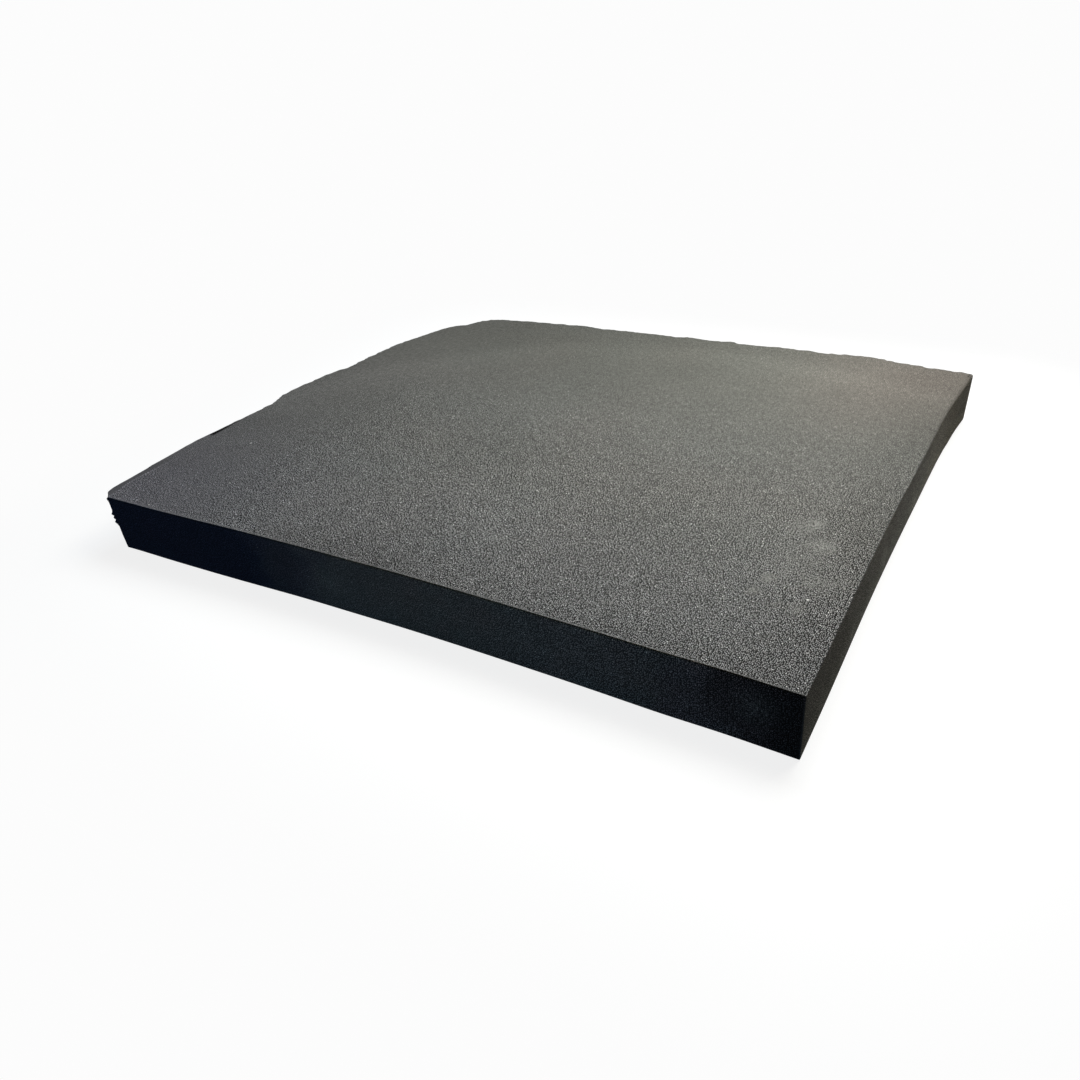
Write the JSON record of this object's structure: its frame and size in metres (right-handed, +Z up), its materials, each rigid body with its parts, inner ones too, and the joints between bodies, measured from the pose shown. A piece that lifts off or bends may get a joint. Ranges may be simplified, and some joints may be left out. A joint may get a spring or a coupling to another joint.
{
  "type": "foam pad",
  "caption": "Flat rectangular slab of charcoal foam with square-cut sides and a worn, rounded corner, for cushioning or protecting what rests on it.",
  "frame": {"origin": "middle of the bounding box, on the plane the pad rests on", "axes": "+X along the long front side, +Y from the front side to the back side, +Z up through the thickness"},
  "size_m": [0.4722, 0.381, 0.038],
  "materials": {
    "foam": "matt fine-celled charcoal foam"
  },
  "bodies": {
    "root": {"foam_pad": "foam"}
  },
  "joints": []
}
